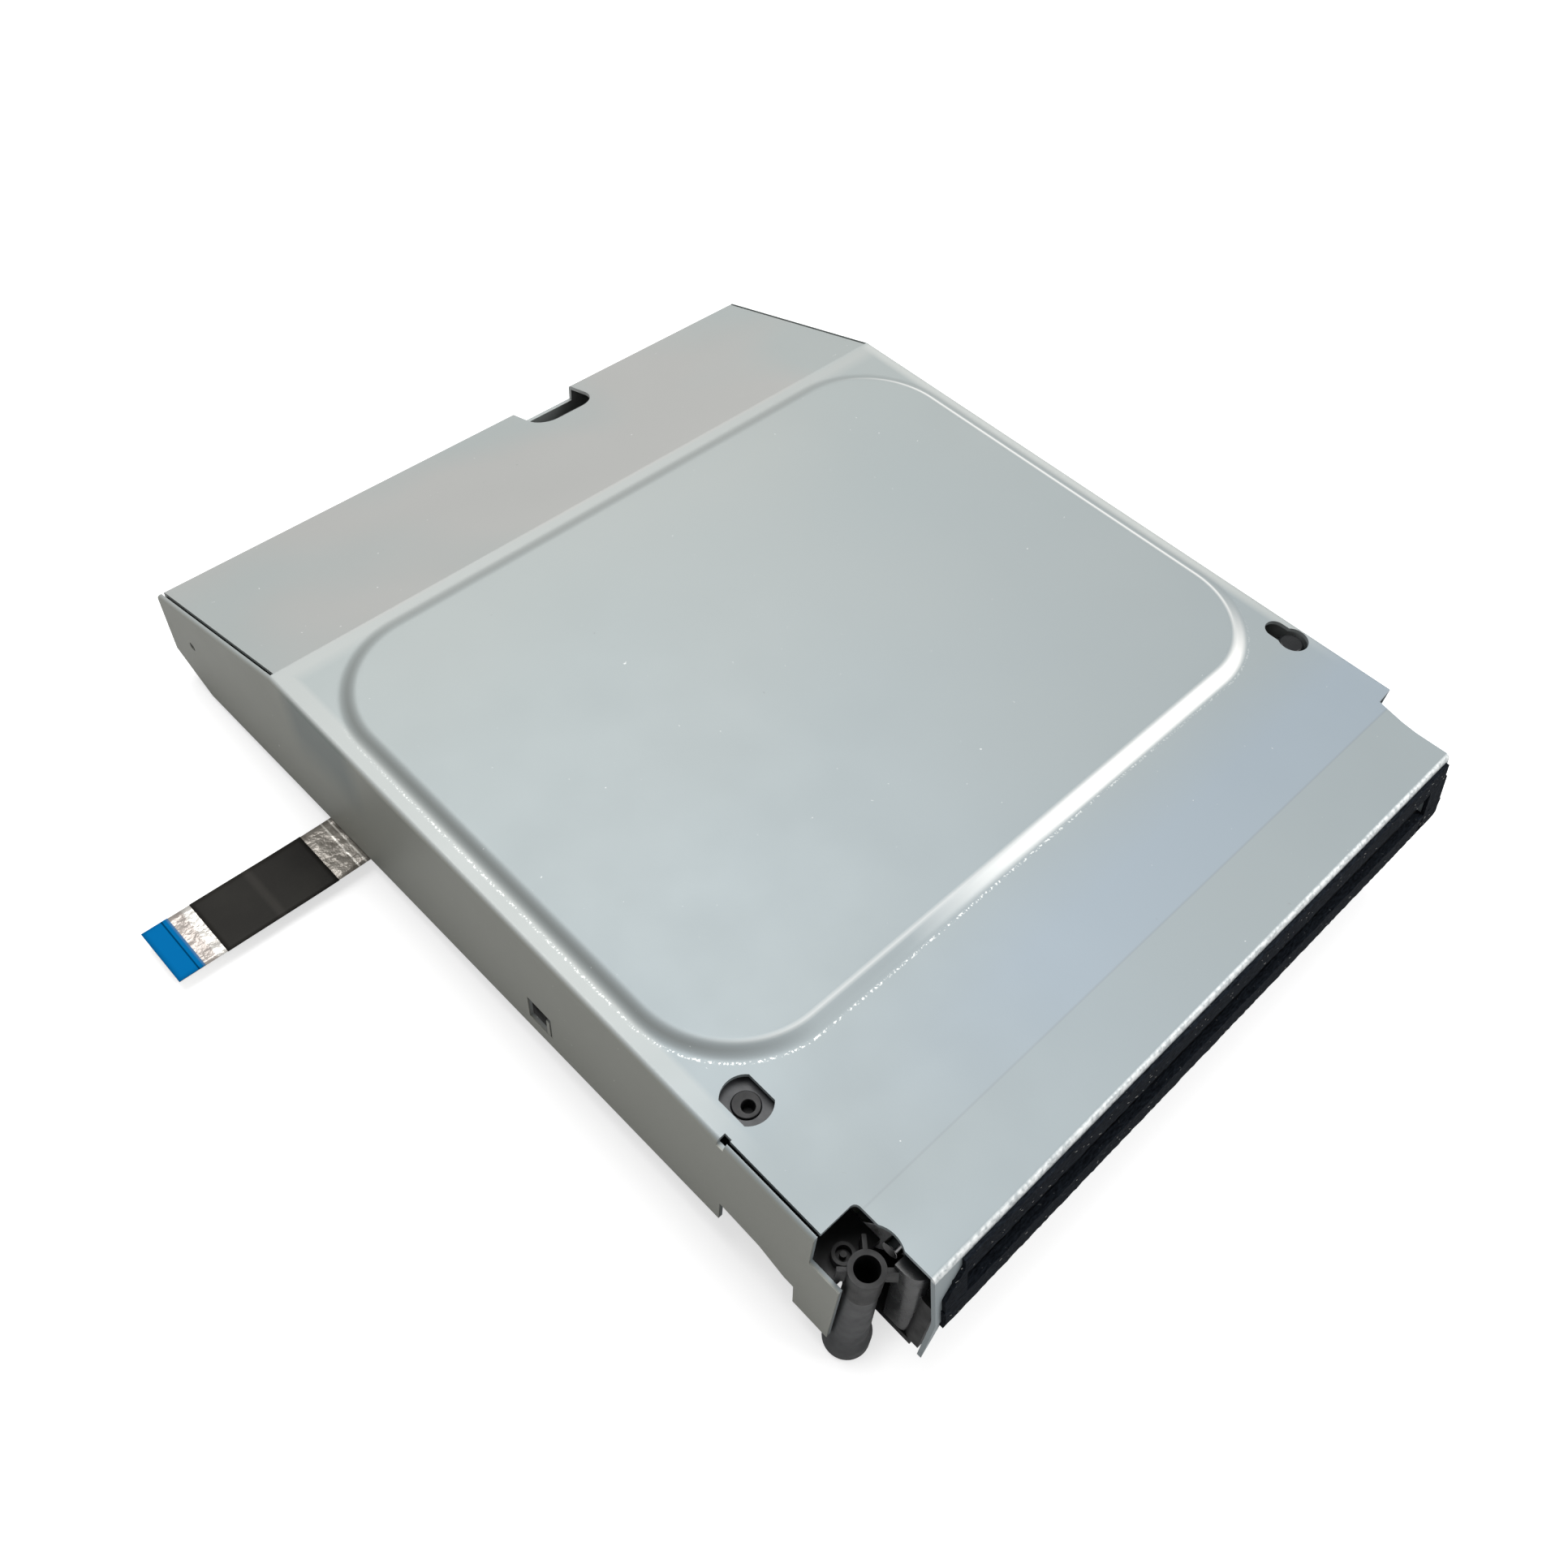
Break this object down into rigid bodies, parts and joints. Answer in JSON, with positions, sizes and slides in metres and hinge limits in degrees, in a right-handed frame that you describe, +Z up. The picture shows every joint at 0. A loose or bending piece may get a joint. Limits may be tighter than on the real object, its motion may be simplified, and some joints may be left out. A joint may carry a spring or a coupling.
{
  "type": "optical disc drive",
  "caption": "Slot-loading optical disc drive for a games console: folded steel cover with raised panel, felt-lined slot, roller loader, lifting laser deck and side ribbon.",
  "frame": {"origin": "centre of the drive's outline on the surface that its posts stand on, ribbon left out", "axes": "+X right, +Y back from the disc slot, +Z up; the slot faces -Y"},
  "size_m": [0.1882, 0.1951, 0.0358],
  "materials": {
    "cover_steel": "matt electro-galvanised sheet",
    "felt": "black felt strip",
    "black_plastic": "moulded, fine matt",
    "grey_plastic": "moulded, satin",
    "white_plastic": "acetal, satin",
    "bright_steel": "plated sheet",
    "polished_steel": "ground bright",
    "roller_rubber": "soft, matt",
    "motor_can": "plated can",
    "brass": "turned",
    "cast_alloy": "die-cast, satin",
    "board_green": "solder resist",
    "socket_plastic": "moulded",
    "chip_black": "moulded",
    "screw_steel": "zinc plated",
    "ribbon_film": "taped flat cable",
    "stiffener_blue": "blue stiffener film",
    "lens_glass": "coated lens",
    "magnet": "nickel plated",
    "copper_core": "wound core"
  },
  "bodies": {
    "case": {"top_cover": "cover_steel", "upper_felt": "felt", "lower_felt": "felt", "base_frame": "black_plastic", "frame_walls": "black_plastic", "frame_back_wall": "black_plastic", "frame_ribs": "black_plastic", "frame_bosses": "black_plastic", "front_frame": "black_plastic", "gear_wall": "black_plastic", "left_bracket": "black_plastic", "corner_shelf": "black_plastic", "post_front_left": "grey_plastic", "post_front_right": "grey_plastic", "post_rear_left": "grey_plastic", "post_rear_right": "grey_plastic", "clamp_bridge": "bright_steel", "loading_motor": "motor_can", "gear_axles": "polished_steel", "bracket_pivots": "polished_steel", "guide_pin": "screw_steel", "relay_board": "board_green", "ribbon_socket": "socket_plastic", "board_chips": "chip_black", "frame_screws": "screw_steel", "ribbon": "ribbon_film", "ribbon_end": "stiffener_blue"},
    "puck": {"clamp_puck": "white_plastic"},
    "bracket": {"roller_bracket": "bright_steel"},
    "roller": {"roller_shaft": "polished_steel", "roller_rubber": "roller_rubber", "roller_gear": "white_plastic"},
    "idler": {"idler_gear": "white_plastic"},
    "reduction": {"double_gear": "white_plastic"},
    "pinion": {"motor_pinion": "brass"},
    "cam": {"cam_slide": "white_plastic"},
    "deck": {"traverse_deck": "bright_steel", "guide_rods": "polished_steel", "rod_holders": "black_plastic", "stepper_motor": "motor_can", "motor_board": "board_green", "motor_stator": "copper_core"},
    "table": {"turntable": "motor_can", "table_pad": "roller_rubber"},
    "screw": {"lead_screw": "polished_steel"},
    "pickup": {"pickup_frame": "cast_alloy", "lens_cover": "black_plastic", "actuator_magnets": "magnet"},
    "lens": {"lens_holder": "black_plastic", "lenses": "lens_glass"},
    "arm_left": {"disc_arm_left": "grey_plastic", "arm_roller_left": "roller_rubber"},
    "arm_right": {"disc_arm_right": "grey_plastic", "arm_roller_right": "roller_rubber"}
  },
  "joints": [
    {"name": "deck_lift", "type": "hinge", "parent": "case", "child": "deck", "pos_m": [0, 0.07795, 0.0185], "axis": [-1, 0, 0], "range_deg": [0, 4]},
    {"name": "cam_travel", "type": "slide", "parent": "case", "child": "cam", "axis": [0, 1, 0], "range_m": [0, 0.01201]},
    {"name": "roller_drop", "type": "hinge", "parent": "case", "child": "bracket", "pos_m": [0, -0.07355, 0.0055], "axis": [1, 0, 0], "range_deg": [0, 6.51]},
    {"name": "roller_spin", "type": "hinge", "parent": "bracket", "child": "roller", "pos_m": [0, -0.08505, 0.0219], "axis": [1, 0, 0], "continuous": true},
    {"name": "idler_spin", "type": "hinge", "parent": "case", "child": "idler", "pos_m": [0.0667, -0.07784, 0.02695], "axis": [1, 0, 0], "continuous": true},
    {"name": "reduction_spin", "type": "hinge", "parent": "case", "child": "reduction", "pos_m": [0.068, -0.07167, 0.01959], "axis": [1, 0, 0], "continuous": true},
    {"name": "motor_spin", "type": "hinge", "parent": "case", "child": "pinion", "pos_m": [0.069, -0.06025, 0.01427], "axis": [1, 0, 0], "continuous": true},
    {"name": "puck_spin", "type": "hinge", "parent": "case", "child": "puck", "pos_m": [0, -0.00705, 0.0295], "axis": [0, 0, 1], "continuous": true},
    {"name": "table_spin", "type": "hinge", "parent": "deck", "child": "table", "pos_m": [0, -0.00736, 0.01995], "axis": [0, -0.0698, 0.9976], "continuous": true},
    {"name": "pickup_travel", "type": "slide", "parent": "deck", "child": "pickup", "axis": [0, 0.9976, 0.0698], "range_m": [0, 0.032]},
    {"name": "screw_spin", "type": "hinge", "parent": "deck", "child": "screw", "pos_m": [0.033, 0.00092, 0.01622], "axis": [0, 0.9976, 0.0698], "continuous": true},
    {"name": "lens_focus", "type": "slide", "parent": "pickup", "child": "lens", "axis": [0, -0.0698, 0.9976], "range_m": [-0.0004, 0.0004], "stiffness_N_per_m": 60},
    {"name": "arm_left_swing", "type": "hinge", "parent": "case", "child": "arm_left", "pos_m": [-0.0676, -0.05815, 0.0315], "axis": [0, 0, 1], "range_deg": [0, 44]},
    {"name": "arm_right_swing", "type": "hinge", "parent": "case", "child": "arm_right", "pos_m": [0.0665, -0.05605, 0.0315], "axis": [0, 0, -1], "range_deg": [0, 44]}
  ],
  "couplings": [
    {"joint": "cam_travel", "follows": "deck_lift", "m_per_rad": 0.17189},
    {"joint": "roller_drop", "follows": "deck_lift", "ratio": 1.625},
    {"joint": "idler_spin", "follows": "roller_spin", "ratio": -0.83333},
    {"joint": "reduction_spin", "follows": "roller_spin", "ratio": 0.83333},
    {"joint": "motor_spin", "follows": "roller_spin", "ratio": -2.6667},
    {"joint": "screw_spin", "follows": "pickup_travel", "rad_per_m": 2094.4},
    {"joint": "arm_right_swing", "follows": "arm_left_swing", "ratio": 1}
  ]
}
